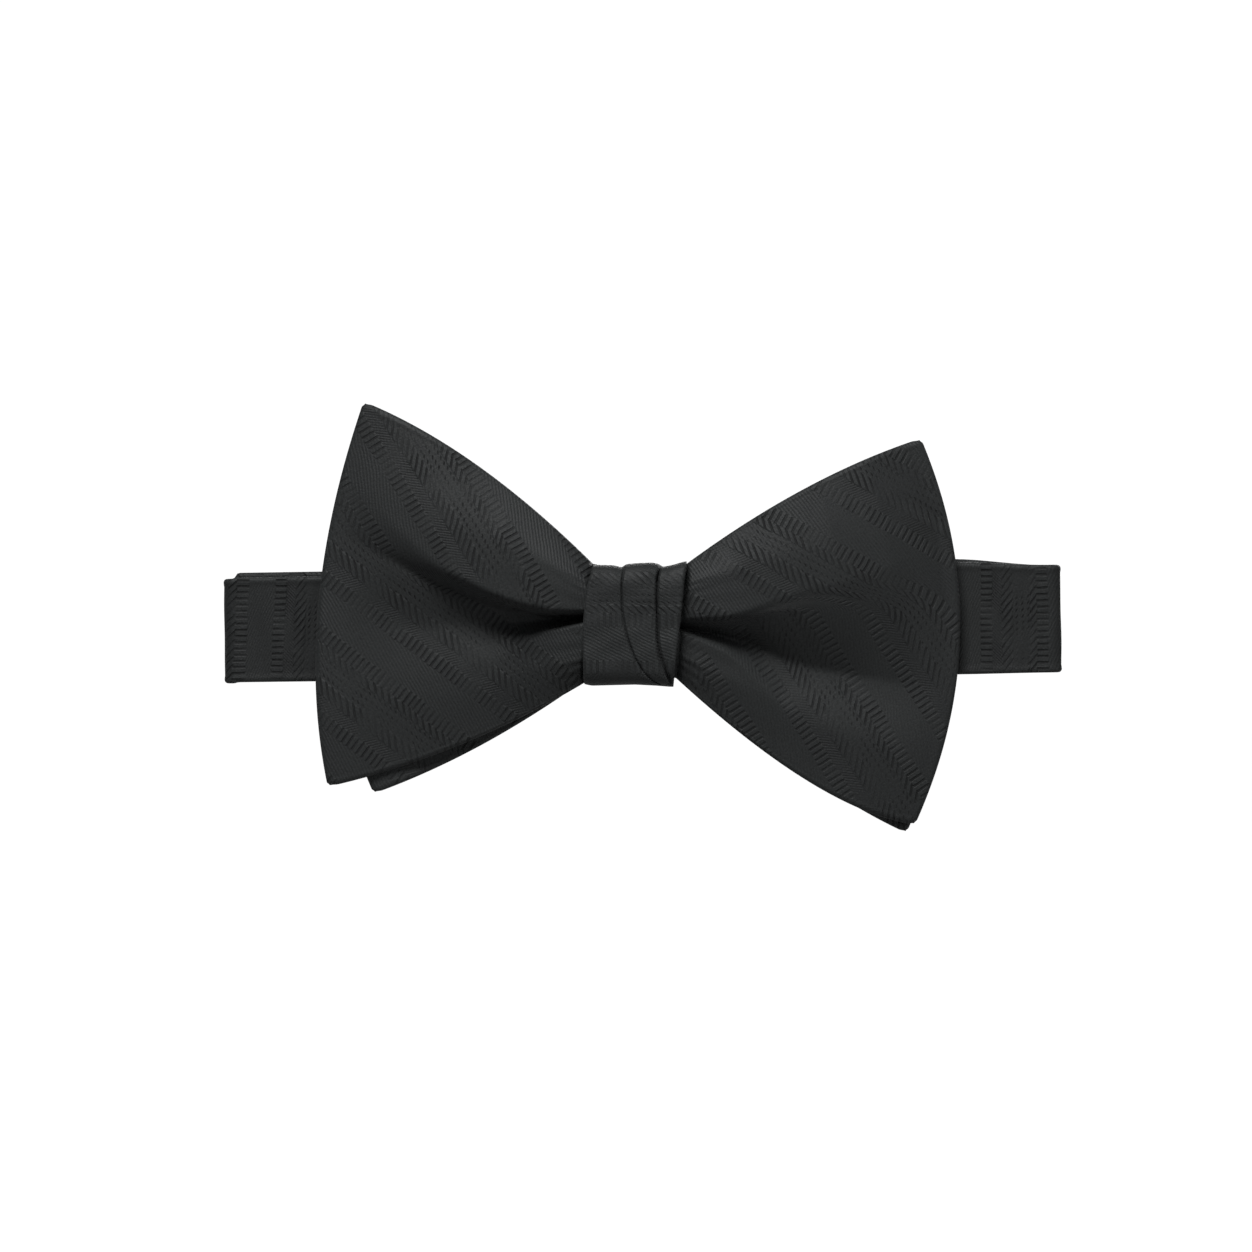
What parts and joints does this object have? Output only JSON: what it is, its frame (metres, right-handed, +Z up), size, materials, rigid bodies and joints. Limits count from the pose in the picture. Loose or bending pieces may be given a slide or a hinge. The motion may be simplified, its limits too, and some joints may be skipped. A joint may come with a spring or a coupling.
{
  "type": "bow tie",
  "caption": "Pre-tied butterfly bow tie in dark striped satin on an adjustable neckband with a slider, a hook and an eye.",
  "frame": {"origin": "middle of the knot, on the rear face of the neckband's front run, where the tie seats on a collar", "axes": "+X to the right of someone looking at the front, +Y backwards towards the neck, +Z up as worn"},
  "size_m": [0.1546, 0.0226, 0.0787],
  "materials": {
    "satin": "black satin with tone-on-tone herringbone stripes",
    "lining": "matt felted interlining",
    "thread": "black sewing thread",
    "hardware": "blackened steel"
  },
  "bodies": {
    "root": {"knot_wrap": "satin", "knot_padding": "lining", "binding_thread": "thread", "front_bow_centre": "satin", "rear_bow_centre": "satin", "band_front": "satin", "band_interlining": "lining", "band_fold_left": "satin", "band_fold_right": "satin"},
    "left_wing": {"front_wing_left": "satin", "front_wing_left_interlining": "lining", "rear_wing_left": "satin", "rear_wing_left_interlining": "lining"},
    "right_wing": {"front_wing_right": "satin", "front_wing_right_interlining": "lining", "rear_wing_right": "satin", "rear_wing_right_interlining": "lining"},
    "left_strap": {"strap_left": "satin", "strap_left_turn": "satin", "strap_left_hem": "satin", "hem_stitches": "thread"},
    "hook": {"hook": "hardware"},
    "right_strap": {"strap_right": "satin", "strap_right_run": "satin"},
    "eye_end": {"strap_right_turn": "satin", "strap_return": "satin"},
    "eye": {"eye": "hardware"},
    "slider": {"slider": "hardware", "strap_end_loop": "satin", "end_loop_stitches": "thread"}
  },
  "joints": [
    {"name": "left_wing_bend", "type": "hinge", "parent": "root", "child": "left_wing", "pos_m": [-0.01005, -0.012, 0], "axis": [0, 0, 1], "range_deg": [0, 25], "stiffness_Nm_per_rad": 0.004},
    {"name": "right_wing_bend", "type": "hinge", "parent": "root", "child": "right_wing", "pos_m": [0.00985, -0.012, 0], "axis": [0, 0, -1], "range_deg": [0, 25], "stiffness_Nm_per_rad": 0.004},
    {"name": "left_strap_fold", "type": "hinge", "parent": "root", "child": "left_strap", "pos_m": [-0.07366, 0.00075, -0.00013], "axis": [-0.014, 0, 0.9999], "range_deg": [0, 160], "deforming": ["band_fold_left"]},
    {"name": "hook_swing", "type": "hinge", "parent": "left_strap", "child": "hook", "pos_m": [-0.02001, 0.00375, 0.00062], "axis": [-0.014, 0, 0.9999], "range_deg": [-15, 75]},
    {"name": "right_strap_fold", "type": "hinge", "parent": "root", "child": "right_strap", "pos_m": [0.07624, 0.00075, 0.00106], "axis": [0.014, 0, -0.9999], "range_deg": [0, 160], "deforming": ["band_fold_right"]},
    {"name": "eye_slide", "type": "slide", "parent": "right_strap", "child": "eye_end", "axis": [0.9999, 0, 0.014], "range_m": [0, 0.011], "deforming": ["strap_right_run"]},
    {"name": "slider_slide", "type": "slide", "parent": "eye_end", "child": "slider", "axis": [0.9999, 0, 0.014], "range_m": [0, 0.011], "deforming": ["strap_return"]},
    {"name": "eye_swing", "type": "hinge", "parent": "eye_end", "child": "eye", "pos_m": [0.02, 0.00375, 0.00028], "axis": [0.014, 0, -0.9999], "range_deg": [-15, 75]}
  ],
  "couplings": [
    {"joint": "slider_slide", "follows": "eye_slide", "ratio": 1}
  ]
}
